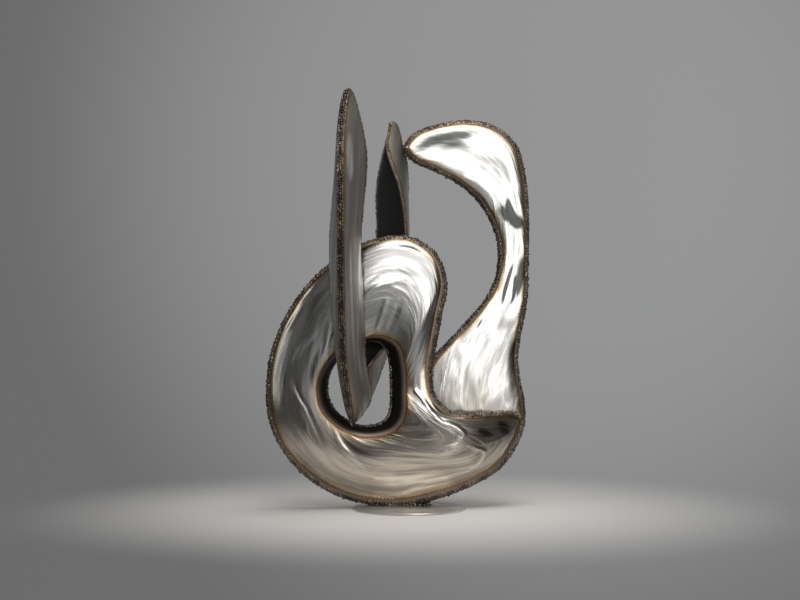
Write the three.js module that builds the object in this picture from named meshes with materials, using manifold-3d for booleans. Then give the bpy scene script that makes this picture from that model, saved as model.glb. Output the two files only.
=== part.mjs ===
// Abstract welded-steel sculpture on a round base plate.
//
// Four hollow sheet-steel forms are welded together:
//   pierced_body  a kidney-shaped ring with an egg-shaped hole and a tail that turns back on the right
//   hook_band     a tall band behind it that curls over to the left at the top
//   front_horn    a tall wedge in front of the ring, its foot welded inside the hole
//   rear_horn     a shorter wedge behind the ring, its foot welded to the back of the front one
// and they stand on base_disc.  The sealed hollow forms are modelled solid.
//
// Millimetres, +Z up, the front looks along -Y.  Origin: centre of the base plate's underside.
import * as THREE from 'three';
import Module from 'manifold-3d';

const wasm = await Module();
wasm.setup();

// ---------------------------------------------------------------- driving sizes

const BASE_RADIUS = 82;
const BASE_THICKNESS = 3;
const BASE_CHAMFER = 0.6;
const BASE_SIDES = 64;
const WELD_GAP = 0.3; // left between touching pieces, where the real ones are welded

// pierced_body: half thicknesses, front and back pillow, and the crusty rim seen round each face
const BODY_RIM_HALF = 13;
const BODY_HOLE_HALF = 17; // where the face beside the hole is wide; less where it is narrow
const BODY_FRONT_PILLOW = 10; // the most a wide face rises above its edges; a narrow one rises less
const BODY_BACK_PILLOW = 5;
const BODY_RIM_INSET = 9.5; // mean width of the rim strip, seen from the front
const BODY_RIM_INSET_RIGHT = 1.5; // wider on the right by this
const BODY_RIM_INSET_BELOW = 3.5; // and wider below by this
const HOLE_LEAN = 15.75; // mean width of the hole's leaning wall, seen from the front
const HOLE_LEAN_RIGHT = 4.5; // wider on the right and narrower on the left by this
const HOLE_LEAN_BELOW = 4; // wider below and narrower above by this
const HOLE_LEAN_SIDES = 3.75; // wider at both sides and narrower above and below by this
const BODY_HOLE_BACK = 0.2; // share of the leaning hole wall that the back face stops short by
const BODY_STEPS = 112;
const BODY_FRONT_ROWS = 7;
const BODY_BACK_ROWS = 4;

// hook_band
const BAND_RIM_HALF = 11;
const BAND_FRONT_PILLOW = 5;
const BAND_BACK_PILLOW = 4;
const BAND_RIM_INSET = 7.5;
const BAND_END_SHARE = 0.4; // how far the middle line runs on towards each end point
const BAND_STEPS_PER_RIB = 3;
const BAND_FRONT_ROWS = 3;
const BAND_BACK_ROWS = 2;

const PILLOW_WIDTH = 100; // a face this wide rises by 63 % of its full pillow

// horns
const HORN_STEPS = 30;
const HORN_SIDE_STEPS = 4;
const HORN_CORNER_CUT = 2;
const HORN_CUT_LIMIT = 0.2; // the most of a side that a corner's cut takes
const HORN_SWELL_LIMIT = 0.1; // the most that a side swells, as a share of its width
const FRONT_HORN_STRIP = 3.4; // half width of the welded strip on its leading edge
const FRONT_HORN_STRIP_TAPER = 9; // the strip narrows over the last ninth at each end
const FRONT_HORN_BULGE = 3;
const FRONT_HORN_HOLLOW = -2;
const REAR_HORN_BULGE = 3;
const REAR_HORN_HOLLOW = -1.5;

// The rim strip's rounding: share of the inset from the outline, share of the half thickness.
const RIM_PROFILE = [
  [0, 0.2],
  [0.12, 0.56],
  [0.45, 0.86],
];
// The hole wall between the faces: share of the lean, share of the half thickness.
const WALL_PROFILE = [
  [0.55, -0.72],
  [0, 0.5],
];
const TANGENT_STEP = 1e-4; // share of a curve's length used to find its direction

// ---------------------------------------------------------------- outlines, [x, z], clockwise from the top

const BODY_OUTLINE = [
  [-14, 401], [21, 390], [45, 367], [56, 327], [48, 283], [38, 228], [34, 199],
  [40, 165], [59, 145], [90, 141], [126, 141], [159, 139], [173, 127], [171, 109],
  [156, 79], [134, 53], [89, 29], [30, 9], [-21, 1], [-88, 10], [-138, 34],
  [-181, 75], [-206, 125], [-211, 180], [-201, 238], [-176, 293], [-133, 346], [-75, 386],
];

// The hole at its narrowest, one point for every second point of the outline.
const HOLE_OUTLINE = [
  [-55, 245], [-37, 236], [-30, 211], [-28.5, 187], [-28.5, 170], [-28.5, 157], [-29.5, 147],
  [-33, 136], [-43, 126], [-71, 122], [-101, 137], [-117, 160], [-118, 192], [-97, 226],
];

// The lines across the ring bend down and right into the tail, most at this point of the outline.
const TAIL_RIB = 12;
const TAIL_RIBS_EACH_SIDE = 5.5;
const TAIL_BEND = [13, -38];

// hook_band's outer and inner edges in pairs from the curled end down, between its two end points.
const BAND_TIP = [-9, 532];
const BAND_EDGES = [
  [[-3, 546], [-4, 520]], [[12, 558], [7, 510]], [[47, 570], [37, 497]], [[89, 575], [68, 481]],
  [[131, 566], [94, 461]], [[162, 538], [114, 435]], [[175, 494], [126, 410]], [[180, 438], [132, 382]],
  [[180, 360], [128, 340]], [[178, 306], [113, 308]], [[168, 252], [86, 276]], [[164, 219], [62, 250]],
  [[167, 188], [38, 225]], [[172, 163], [22, 201]], [[175, 139], [13, 171]], [[172, 116], [20, 139]],
  [[154, 100], [43, 111]],
];
const BAND_FOOT = [109, 91];

// Horn edges from the top down, [x, y, z].
const FRONT_HORN_TOP = [-85, -115, 602];
const FRONT_HORN_FOOT = [-84, 0, 119];
const FRONT_HORN_EDGES = {
  leading: [[-87, -117, 599], [-91, -120, 588], [-96, -127, 542], [-97, -128, 500], [-97, -121, 389],
    [-97, -110, 320], [-94, -82, 218], [-89, -46, 162]],
  right: [[-81, -111, 599], [-76, -104, 588], [-65, -94, 545], [-60, -85, 504], [-69, -62, 391],
    [-66, -43, 320], [-63, -10, 216], [-56, 11, 159]],
  left: [[-89, -112, 599], [-94, -105, 588], [-100, -94, 545], [-104, -84, 504], [-115, -63, 391],
    [-114, -50, 320], [-105, -26, 216], [-95, -2, 159]],
};
const REAR_HORN_TOP = [-25, 50, 572];
const REAR_HORN_FOOT = [-60, 16, 152];
const REAR_HORN_EDGES = {
  left: [[-30, 47, 569], [-31, 43, 561], [-37, 38, 536], [-43, 36, 513], [-50, 34, 469], [-50, 30, 402],
    [-61, 27, 320], [-72, 24, 261], [-76, 15, 229], [-77, 5, 203], [-70, 6, 170]],
  ridge: [[-28, 46, 569], [-30, 43, 561], [-34, 38, 536], [-28, 36, 513], [-12, 34, 469], [-3, 30, 402],
    [-5, 27, 320], [-20, 24, 261], [-42, 15, 229], [-62, 5, 203], [-66, 6, 170]],
  rear: [[-19, 53, 569], [-15, 56, 562], [-9, 60, 537], [-3, 64, 515], [-1, 70, 471], [-2, 76, 403],
    [-8, 76, 320], [-20, 70, 261], [-30, 63, 229], [-40, 52, 203], [-52, 34, 170]],
};

// ---------------------------------------------------------------- where each sheet lies in depth

// How far each end of pierced_body is set back: by how much, from where, and over what distance.
const SET_BACK = {
  foot: { by: 22, from: -180, over: 177 },
  tail: { by: 60, from: 30, over: 140 },
  left: { by: 12, from: 120, over: 90 },
};
const BAND_DEPTH = 60; // of the middle of hook_band in Y
const BAND_MIDDLE = 80; // the X at which it lies there
const BAND_TURN = 0.12; // its slope to the right

/** Set-back at a distance past its start: the square of how far along it lies. */
function setBack({ by, from, over }, distance) {
  return by * Math.max(0, (distance - from) / over) ** 2;
}

/** Middle of pierced_body in Y: upright in front, set back at its foot, its tail and its left side. */
function bodyDepth(x, z) {
  return setBack(SET_BACK.foot, -z) + setBack(SET_BACK.tail, x) + setBack(SET_BACK.left, -x);
}

/** Middle of hook_band in Y: a flat sheet turned a little to the right. */
function bandDepth(x) {
  return BAND_DEPTH + BAND_TURN * (x - BAND_MIDDLE);
}

// ---------------------------------------------------------------- curves

/** Smooth curve through [x, z] points. */
function flatCurve(points, closed) {
  const places = points.map(([x, z]) => new THREE.Vector3(x, 0, z));
  return new THREE.CatmullRomCurve3(places, closed, 'centripetal');
}

/** Smooth curve through [x, y, z] points. */
function spaceCurve(points) {
  const places = points.map((point) => new THREE.Vector3(...point));
  return new THREE.CatmullRomCurve3(places, false, 'centripetal');
}

/** Direction in the XZ plane that points out of a closed clockwise curve. */
function outward(curve, turn) {
  const ahead = curve.getPoint((turn + TANGENT_STEP) % 1);
  const behind = curve.getPoint((turn + 1 - TANGENT_STEP) % 1);
  const along = ahead.sub(behind).normalize();
  return new THREE.Vector3(-along.z, 0, along.x);
}

/** 1 in the middle, falling smoothly to 0 at a distance of 1 on each side. */
function bump(distance) {
  return Math.abs(distance) < 1 ? Math.cos((distance * Math.PI) / 2) ** 2 : 0;
}

/** Dome shape across a face: 0 at both edges, 1 halfway. */
function dome(share) {
  return 4 * share * (1 - share);
}

/** How full a face of this width swells: nearly 0 for a narrow one, nearly 1 for a wide one. */
function fullness(width) {
  return 1 - Math.exp(-((width / PILLOW_WIDTH) ** 2));
}

// ---------------------------------------------------------------- closed skins

/**
 * Joins rows of points into a closed solid.
 * rows: arrays of THREE.Vector3 of one length, each a closed loop.
 * index: gives the vertex number of point i of row j, so that a row can fold onto itself.
 * wrap: the last row joins the first one.
 * caps: two points that close the first and the last row.
 */
function skin(rows, { index, wrap = false, caps = null }) {
  const count = rows[0].length;
  const position = rows.flatMap((row) => row.flatMap((point) => point.toArray()));
  const triangles = [];
  const pairs = wrap ? rows.length : rows.length - 1;
  for (let j = 0; j < pairs; j += 1) {
    const next = (j + 1) % rows.length;
    for (let i = 0; i < count; i += 1) {
      const right = (i + 1) % count;
      const corners = [index(i, j), index(right, j), index(right, next), index(i, next)];
      triangles.push([corners[0], corners[1], corners[2]], [corners[0], corners[2], corners[3]]);
    }
  }
  if (caps) {
    const first = position.length / 3;
    position.push(...caps[0].toArray(), ...caps[1].toArray());
    const end = rows.length - 1;
    for (let i = 0; i < count; i += 1) {
      const right = (i + 1) % count;
      triangles.push([first, index(right, 0), index(i, 0)], [first + 1, index(i, end), index(right, end)]);
    }
  }
  const whole = triangles.filter(([a, b, c]) => a !== b && b !== c && c !== a);
  return outwardFacing({ position, triangles: whole });
}

/** Turns the triangles over if they enclose a negative volume, and drops unused points. */
function outwardFacing({ position, triangles }) {
  const at = (k) => new THREE.Vector3().fromArray(position, 3 * k);
  const volume = triangles.reduce((sum, [a, b, c]) => sum + at(a).dot(at(b).cross(at(c))) / 6, 0);
  const ordered = volume < 0 ? triangles.map(([a, b, c]) => [a, c, b]) : triangles;
  const places = new Map();
  const kept = [];
  const renumber = (k) => {
    if (!places.has(k)) {
      places.set(k, places.size);
      kept.push(...position.slice(3 * k, 3 * k + 3));
    }
    return places.get(k);
  };
  const triVerts = new Uint32Array(ordered.flat().map(renumber));
  const mesh = new wasm.Mesh({ numProp: 3, vertProperties: new Float32Array(kept), triVerts });
  return new wasm.Manifold(mesh);
}

/** The geometry of a finished solid. */
function geometryOf(solid) {
  const mesh = solid.getMesh();
  const geometry = new THREE.BufferGeometry();
  geometry.setAttribute('position', new THREE.BufferAttribute(mesh.vertProperties, 3));
  geometry.setIndex(new THREE.BufferAttribute(mesh.triVerts, 1));
  geometry.computeVertexNormals();
  return geometry;
}

// ---------------------------------------------------------------- pierced_body

/** Ring with a pillowed front and back, a rounded crusty rim and a leaning wall in its hole. */
function piercedBody(grow = 0) {
  const outline = flatCurve(BODY_OUTLINE, true);
  const hole = flatCurve(HOLE_OUTLINE, true);
  const seat = BASE_THICKNESS + WELD_GAP - grow;

  const place = (flat, depth) => {
    const z = Math.max(flat.z, seat);
    return new THREE.Vector3(flat.x, bodyDepth(flat.x, z) + depth, z);
  };
  const rim = (turn, share) => {
    const out = outward(outline, turn);
    const inset = BODY_RIM_INSET + BODY_RIM_INSET_RIGHT * out.x - BODY_RIM_INSET_BELOW * out.z;
    return outline.getPoint(turn).addScaledVector(out, grow - inset * share);
  };
  // The hole's front edge stands back from its narrowest line, most on the right and least at the top.
  const wall = (turn, share) => {
    const out = outward(hole, turn);
    const sides = HOLE_LEAN_SIDES * (out.x * out.x - out.z * out.z);
    const lean = HOLE_LEAN + HOLE_LEAN_RIGHT * out.x - HOLE_LEAN_BELOW * out.z + sides;
    return hole.getPoint(turn).addScaledVector(out, lean * share - grow);
  };
  const holeHalf = (turn) => {
    const width = rim(turn, 1).distanceTo(wall(turn, 1));
    return BODY_RIM_HALF + (BODY_HOLE_HALF - BODY_RIM_HALF) * fullness(width);
  };
  // A line across one face, from the rim strip's inner edge to the hole.
  const facePoint = (turn, share, holeShare, side) => {
    const edge = rim(turn, 1);
    const end = wall(turn, holeShare);
    const most = side < 0 ? BODY_FRONT_PILLOW : BODY_BACK_PILLOW;
    const rise = most * fullness(edge.distanceTo(end)) * dome(share);
    const half = BODY_RIM_HALF + (holeHalf(turn) - BODY_RIM_HALF) * share;
    const rib = turn * BODY_OUTLINE.length;
    const reach = bump((rib - TAIL_RIB) / TAIL_RIBS_EACH_SIDE) * dome(share);
    const bend = new THREE.Vector3(TAIL_BEND[0] * reach, 0, TAIL_BEND[1] * reach);
    return place(edge.lerp(end, share).add(bend), side * (half + rise + grow));
  };

  const rowMakers = [];
  for (const [share, depth] of RIM_PROFILE) {
    rowMakers.push((turn) => place(rim(turn, share), -depth * BODY_RIM_HALF - grow));
  }
  for (let row = 0; row <= BODY_FRONT_ROWS; row += 1) {
    rowMakers.push((turn) => facePoint(turn, row / BODY_FRONT_ROWS, 1, -1));
  }
  for (const [share, depth] of WALL_PROFILE) {
    rowMakers.push((turn) => place(wall(turn, share), depth * holeHalf(turn)));
  }
  for (let row = BODY_BACK_ROWS; row >= 0; row -= 1) {
    rowMakers.push((turn) => facePoint(turn, row / BODY_BACK_ROWS, BODY_HOLE_BACK, 1));
  }
  for (const [share, depth] of [...RIM_PROFILE].reverse()) {
    rowMakers.push((turn) => place(rim(turn, share), depth * BODY_RIM_HALF + grow));
  }

  const rows = rowMakers.map((make) => (
    Array.from({ length: BODY_STEPS }, (_, step) => make(step / BODY_STEPS))
  ));
  return skin(rows, { index: (i, j) => j * BODY_STEPS + i, wrap: true });
}

// ---------------------------------------------------------------- hook_band

/** Band closed at both ends; each face rises from its rim to the line halfway between the edges. */
function hookBand() {
  const outer = BAND_EDGES.map(([edge]) => edge);
  const inner = BAND_EDGES.map(([, edge]) => edge).reverse();
  const middle = BAND_EDGES.map(([a, b]) => [(a[0] + b[0]) / 2, (a[1] + b[1]) / 2]);
  const runOn = (end, near) => near.map((value, axis) => value + BAND_END_SHARE * (end[axis] - value));
  const tip = runOn(BAND_TIP, middle[0]);
  const foot = runOn(BAND_FOOT, middle[middle.length - 1]);
  const outline = flatCurve([BAND_TIP, ...outer, BAND_FOOT, ...inner], true);
  const spine = flatCurve([tip, ...middle, foot, ...[...middle].reverse()], true);
  const steps = (2 * BAND_EDGES.length + 2) * BAND_STEPS_PER_RIB;

  const place = (flat, depth) => new THREE.Vector3(flat.x, bandDepth(flat.x) + depth, flat.z);
  const rim = (turn, share) => {
    const out = outward(outline, turn);
    return outline.getPoint(turn).addScaledVector(out, -BAND_RIM_INSET * share);
  };
  // A line across half of one face, from the rim strip's inner edge to the middle line.
  const facePoint = (turn, share, side) => {
    const edge = rim(turn, 1);
    const middlePoint = spine.getPoint(turn);
    const most = side < 0 ? BAND_FRONT_PILLOW : BAND_BACK_PILLOW;
    const rise = most * fullness(2 * edge.distanceTo(middlePoint)) * (1 - (1 - share) ** 3);
    return place(edge.lerp(middlePoint, share), side * (BAND_RIM_HALF + rise));
  };

  const rowMakers = [];
  for (let row = BAND_FRONT_ROWS; row >= 0; row -= 1) {
    rowMakers.push((turn) => facePoint(turn, row / BAND_FRONT_ROWS, -1));
  }
  for (const [share, depth] of [...RIM_PROFILE].reverse()) {
    rowMakers.push((turn) => place(rim(turn, share), -depth * BAND_RIM_HALF));
  }
  for (const [share, depth] of RIM_PROFILE) {
    rowMakers.push((turn) => place(rim(turn, share), depth * BAND_RIM_HALF));
  }
  for (let row = 0; row <= BAND_BACK_ROWS; row += 1) {
    rowMakers.push((turn) => facePoint(turn, row / BAND_BACK_ROWS, 1));
  }

  const rows = rowMakers.map((make) => (
    Array.from({ length: steps }, (_, step) => make(step / steps))
  ));
  const folded = (i) => Math.min(i, steps - i);
  const index = (i, j) => j * steps + (j === 0 || j === rows.length - 1 ? folded(i) : i);
  return skin(rows, { index });
}

// ---------------------------------------------------------------- horns

/**
 * Wedge whose corners run along space curves and meet in a point at both ends.
 * corners: curves in order round the section.
 * bulges: how far each side swells, from its corner to the next.
 */
function horn(corners, bulges, top, foot, grow = 0) {
  const rows = [];
  for (let step = 1; step < HORN_STEPS; step += 1) {
    const share = 0.5 - 0.5 * Math.cos((Math.PI * step) / HORN_STEPS);
    const ends = corners.map((corner) => corner(share));
    const centre = ends.reduce((sum, end) => sum.add(end), new THREE.Vector3()).divideScalar(ends.length);
    const row = [];
    ends.forEach((from, side) => {
      const to = ends[(side + 1) % ends.length];
      const length = from.distanceTo(to);
      const cut = Math.min(HORN_CORNER_CUT / length, HORN_CUT_LIMIT);
      const across = to.clone().sub(from).normalize();
      const out = new THREE.Vector3(across.y, -across.x, 0);
      if (out.dot(from.clone().add(to).divideScalar(2).sub(centre)) < 0) {
        out.negate();
      }
      const swell = Math.min(Math.abs(bulges[side]), HORN_SWELL_LIMIT * length) * Math.sign(bulges[side]);
      for (let part = 0; part <= HORN_SIDE_STEPS; part += 1) {
        const along = cut + (1 - 2 * cut) * (part / HORN_SIDE_STEPS);
        const point = from.clone().lerp(to, along).addScaledVector(out, swell * dome(along));
        row.push(point.addScaledVector(point.clone().sub(centre).normalize(), grow));
      }
    });
    rows.push(row);
  }
  const count = rows[0].length;
  const caps = [new THREE.Vector3(...top), new THREE.Vector3(...foot)];
  return skin(rows, { index: (i, j) => j * count + i, caps });
}

/** Curve of a corner from the top point to the foot point, as a function of the share of its length. */
function cornerCurve(top, points, foot) {
  const curve = spaceCurve([top, ...points, foot]);
  return (share) => curve.getPoint(share);
}

function frontHorn(grow = 0) {
  const { leading, right, left } = FRONT_HORN_EDGES;
  const [lead, heelRight, heelLeft] = [leading, right, left].map((edge) => (
    cornerCurve(FRONT_HORN_TOP, edge, FRONT_HORN_FOOT)
  ));
  const strip = (side) => (share) => {
    const taper = FRONT_HORN_STRIP_TAPER * Math.min(share, 1 - share);
    const width = FRONT_HORN_STRIP * Math.min(1, taper);
    return lead(share).add(new THREE.Vector3(side * width, 0, 0));
  };
  const corners = [strip(-1), strip(1), heelRight, heelLeft];
  const bulges = [0, FRONT_HORN_BULGE, FRONT_HORN_HOLLOW, FRONT_HORN_BULGE];
  return horn(corners, bulges, FRONT_HORN_TOP, FRONT_HORN_FOOT, grow);
}

function rearHorn(grow = 0) {
  const { left, ridge, rear } = REAR_HORN_EDGES;
  const corners = [left, ridge, rear].map((edge) => cornerCurve(REAR_HORN_TOP, edge, REAR_HORN_FOOT));
  const bulges = [REAR_HORN_HOLLOW, REAR_HORN_BULGE, REAR_HORN_BULGE];
  return horn(corners, bulges, REAR_HORN_TOP, REAR_HORN_FOOT, grow);
}

// ---------------------------------------------------------------- base_disc

/** Plain round plate with chamfered edges, its underside on the origin. */
function baseDisc() {
  const inner = BASE_RADIUS - BASE_CHAMFER;
  const profile = [
    [0, 0], [inner, 0], [BASE_RADIUS, BASE_CHAMFER],
    [BASE_RADIUS, BASE_THICKNESS - BASE_CHAMFER], [inner, BASE_THICKNESS], [0, BASE_THICKNESS],
  ];
  const geometry = new THREE.LatheGeometry(profile.map(([r, z]) => new THREE.Vector2(r, z)), BASE_SIDES);
  return geometry.rotateX(Math.PI / 2);
}

// ---------------------------------------------------------------- assembly

const STEEL = { color: 0x8d8c88, roughness: 0.34, metalness: 1 };
const BASE_STEEL = { color: 0x8a8681, roughness: 0.45, metalness: 1 };

/** Named mesh in its own material. */
function piece(name, geometry, finish) {
  const mesh = new THREE.Mesh(geometry, new THREE.MeshStandardMaterial(finish));
  mesh.name = name;
  return mesh;
}

const sculpture = new THREE.Group();
const bodyCut = piercedBody(WELD_GAP);
const frontCut = frontHorn(WELD_GAP);
const rearCut = rearHorn(WELD_GAP);
sculpture.add(
  piece('base_disc', baseDisc(), BASE_STEEL),
  piece('pierced_body', geometryOf(piercedBody()), STEEL),
  piece('front_horn', geometryOf(frontHorn().subtract(bodyCut)), STEEL),
  piece('rear_horn', geometryOf(rearHorn().subtract(bodyCut).subtract(frontCut)), STEEL),
  piece('hook_band', geometryOf(hookBand().subtract(bodyCut).subtract(rearCut)), STEEL),
);

export default sculpture;
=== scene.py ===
"""Abstract welded-steel sculpture: the visual model, its finishes, the light and the camera.

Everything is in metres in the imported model's frame: +Z up, the front looks along -Y, and the origin
is the centre of the base plate's underside.  Each hollow sheet form is a fine closed skin that keeps
its solid's form, and a second piece of weld beads runs along its seams.
"""
import logging
import math
from dataclasses import dataclass, field
from enum import Enum
from typing import Any, Iterable, Sequence

import bpy
import numpy as np
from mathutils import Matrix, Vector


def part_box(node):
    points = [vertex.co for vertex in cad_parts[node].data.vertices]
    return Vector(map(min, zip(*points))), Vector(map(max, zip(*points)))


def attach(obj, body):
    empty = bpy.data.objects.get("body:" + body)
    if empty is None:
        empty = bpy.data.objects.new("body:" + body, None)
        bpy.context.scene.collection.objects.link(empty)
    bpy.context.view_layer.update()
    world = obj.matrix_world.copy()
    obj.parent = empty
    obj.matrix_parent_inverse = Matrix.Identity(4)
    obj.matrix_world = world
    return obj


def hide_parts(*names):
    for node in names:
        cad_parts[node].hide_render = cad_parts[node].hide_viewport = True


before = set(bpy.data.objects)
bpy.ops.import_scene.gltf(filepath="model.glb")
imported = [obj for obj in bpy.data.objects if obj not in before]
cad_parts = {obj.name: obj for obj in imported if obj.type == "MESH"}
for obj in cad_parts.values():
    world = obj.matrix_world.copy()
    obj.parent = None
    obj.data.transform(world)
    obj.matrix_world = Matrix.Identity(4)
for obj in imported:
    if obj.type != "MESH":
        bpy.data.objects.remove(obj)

Array = np.ndarray
Point = tuple[float, ...]

LOG = logging.getLogger("sculpture")
MM = 0.001
ROOT = "root"


# ------------------------------------------------------------------ outlines, in millimetres

BODY_OUTLINE = (
    (-14, 401), (21, 390), (45, 367), (56, 327), (48, 283), (38, 228), (34, 199),
    (40, 165), (59, 145), (90, 141), (126, 141), (159, 139), (173, 127), (171, 109),
    (156, 79), (134, 53), (89, 29), (30, 9), (-21, 1), (-88, 10), (-138, 34),
    (-181, 75), (-206, 125), (-211, 180), (-201, 238), (-176, 293), (-133, 346), (-75, 386),
)
HOLE_OUTLINE = (
    (-55, 245), (-37, 236), (-30, 211), (-28.5, 187), (-28.5, 170), (-28.5, 157), (-29.5, 147),
    (-33, 136), (-43, 126), (-71, 122), (-101, 137), (-117, 160), (-118, 192), (-97, 226),
)
BAND_TIP = (-9, 532)
BAND_FOOT = (109, 91)
BAND_EDGES = (
    ((-3, 546), (-4, 520)), ((12, 558), (7, 510)), ((47, 570), (37, 497)), ((89, 575), (68, 481)),
    ((131, 566), (94, 461)), ((162, 538), (114, 435)), ((175, 494), (126, 410)), ((180, 438), (132, 382)),
    ((180, 360), (128, 340)), ((178, 306), (113, 308)), ((168, 252), (86, 276)), ((164, 219), (62, 250)),
    ((167, 188), (38, 225)), ((172, 163), (22, 201)), ((175, 139), (13, 171)), ((172, 116), (20, 139)),
    ((154, 100), (43, 111)),
)
FRONT_TOP = (-85, -115, 602)
FRONT_FOOT = (-84, 0, 119)
FRONT_LEADING = (
    (-87, -117, 599), (-91, -120, 588), (-96, -127, 542), (-97, -128, 500), (-97, -121, 389),
    (-97, -110, 320), (-94, -82, 218), (-89, -46, 162),
)
FRONT_RIGHT = (
    (-81, -111, 599), (-76, -104, 588), (-65, -94, 545), (-60, -85, 504), (-69, -62, 391),
    (-66, -43, 320), (-63, -10, 216), (-56, 11, 159),
)
FRONT_LEFT = (
    (-89, -112, 599), (-94, -105, 588), (-100, -94, 545), (-104, -84, 504), (-115, -63, 391),
    (-114, -50, 320), (-105, -26, 216), (-95, -2, 159),
)
REAR_TOP = (-25, 50, 572)
REAR_FOOT = (-60, 16, 152)
REAR_LEFT = (
    (-30, 47, 569), (-31, 43, 561), (-37, 38, 536), (-43, 36, 513), (-50, 34, 469), (-50, 30, 402),
    (-61, 27, 320), (-72, 24, 261), (-76, 15, 229), (-77, 5, 203), (-70, 6, 170),
)
REAR_RIDGE = (
    (-28, 46, 569), (-30, 43, 561), (-34, 38, 536), (-28, 36, 513), (-12, 34, 469), (-3, 30, 402),
    (-5, 27, 320), (-20, 24, 261), (-42, 15, 229), (-62, 5, 203), (-66, 6, 170),
)
REAR_BACK = (
    (-19, 53, 569), (-15, 56, 562), (-9, 60, 537), (-3, 64, 515), (-1, 70, 471), (-2, 76, 403),
    (-8, 76, 320), (-20, 70, 261), (-30, 63, 229), (-40, 52, 203), (-52, 34, 170),
)


# ------------------------------------------------------------------ curves and shapes

def smooth_curve(points: Sequence[Point], share: Array, closed: bool) -> Array:
    """Centripetal Catmull-Rom curve: a cubic between each two points, its slopes set by their spacing.

    Args:
        points: the points that the curve passes through, in millimetres.
        share: places along the curve, 0 to 1, each point an equal share after the last.
        closed: whether the last point joins the first.

    Returns:
        One row of coordinates in metres for each share.
    """
    knots = np.asarray(points, float) * MM
    count = len(knots)
    if closed:
        place = (np.asarray(share, float) % 1.0) * count
        first = np.floor(place).astype(int) % count
        near = [knots[(first + step) % count] for step in (-1, 0, 1, 2)]
    else:
        place = np.clip(share, 0.0, 1.0) * (count - 1)
        first = np.minimum(place.astype(int), count - 2)
        longer = np.vstack([2 * knots[0] - knots[1], knots, 2 * knots[-1] - knots[-2]])
        near = [longer[first + step] for step in (0, 1, 2, 3)]
    t = (place - first)[:, None]
    before, start, end, after = near
    gap = [np.sqrt(np.linalg.norm(b - a, axis=1))[:, None] for a, b in zip(near, near[1:])]
    leave = ((start - before) / gap[0] - (end - before) / (gap[0] + gap[1]) + (end - start) / gap[1]) * gap[1]
    arrive = ((end - start) / gap[1] - (after - start) / (gap[1] + gap[2]) + (after - end) / gap[2]) * gap[1]
    bend = -3 * start + 3 * end - 2 * leave - arrive
    twist = 2 * start - 2 * end + leave + arrive
    return start + t * (leave + t * (bend + t * twist))


def unit(vectors: Array) -> Array:
    """Each vector divided by its own length."""
    return vectors / np.maximum(np.linalg.norm(vectors, axis=-1, keepdims=True), 1e-12)


def outward(points: Sequence[Point], share: Array) -> Array:
    """Unit direction out of a closed clockwise outline: its tangent turned a quarter left."""
    step = 1e-4
    along = unit(smooth_curve(points, share + step, True) - smooth_curve(points, share - step, True))
    return np.stack([-along[:, 1], along[:, 0]], axis=1)


def dome(share: Array) -> Array:
    """Parabola that is 0 at 0 and 1 and rises to 1 halfway."""
    return 4 * share * (1 - share)


def bump(distance: Array) -> Array:
    """Squared cosine that is 1 at 0 and falls to 0 at a distance of 1 on each side."""
    return np.where(np.abs(distance) < 1, np.cos(distance * math.pi / 2) ** 2, 0.0)


def fade(value: Array, low: float, high: float) -> Array:
    """Smooth step from 0 at low to 1 at high: 3 t squared minus 2 t cubed."""
    t = np.clip((value - low) / (high - low), 0.0, 1.0)
    return t * t * (3 - 2 * t)


def nearest(points: Array, line: Array) -> Array:
    """Distance of each point to the nearest point of a dense line, in blocks of rows.

    Args:
        points: any number of points, three coordinates each.
        line: the line's own points.

    Returns:
        One distance for each point.
    """
    flat = points.reshape(-1, 3)
    blocks = [flat[start:start + 4000] for start in range(0, len(flat), 4000)]
    squares = [((block[:, None, :] - line[None, :, :]) ** 2).sum(axis=2).min(axis=1) for block in blocks]
    return np.sqrt(np.concatenate(squares)).reshape(points.shape[:-1])


def travelled(line: Array) -> Array:
    """Distance along a line of points from its first one."""
    steps = np.linalg.norm(np.diff(line, axis=0), axis=1)
    return np.concatenate([[0.0], np.cumsum(steps)])


@dataclass(frozen=True)
class Sweep:
    """A long mark of the hammer and the grinder on a front face, with a reflection painted along it.

    Attributes:
        path: the mark's middle line, x and z in millimetres.
        width: half its width in millimetres.
        height: how far it rises towards the front, or below 0 sinks, in millimetres.
        tone: the reflection painted along it, from a dark one (-1) to a highlight (1).
    """

    path: tuple[Point, ...]
    width: float
    height: float = 0.0
    tone: float = 0.0

    def weight(self, points: Array) -> Array:
        """Share of the mark at each point: 1 on its middle line, 0 at its width and its ends."""
        line = smooth_curve(self.path, np.linspace(0, 1, 120), False)
        flat = points[..., [0, 2]].reshape(-1, 1, 2)
        squares = ((flat - line[None]) ** 2).sum(axis=2)
        found = squares.argmin(axis=1)
        near = np.sqrt(squares[np.arange(len(found)), found]) / (self.width * MM)
        ends = np.sin(math.pi * np.clip((found + 6) / 131, 0, 1)) ** 0.6
        return (bump(near) * ends).reshape(points.shape[:-1])


def swept(points: Array, rows: slice, free: Array, sweeps: Sequence[Sweep]) -> Array:
    """Presses sweeps into a face's rows and returns the reflection that they paint.

    Args:
        points: the skin's points, changed in place.
        rows: which rows are the front face.
        free: 0 at the face's welds to 1 well inside, so that the edges stay where they are.
        sweeps: the marks.

    Returns:
        The painted reflection at every point of the skin.
    """
    tone = np.zeros(points.shape[:2])
    for sweep in sweeps:
        weight = sweep.weight(points[rows])
        points[rows, :, 1] -= weight * free[rows] * sweep.height * MM
        # each sweep's painted reflection: dark below 0, a highlight above 0
        tone[rows] += weight * sweep.tone
    return np.clip(tone, -1, 1)


# ------------------------------------------------------------------ skins

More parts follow.
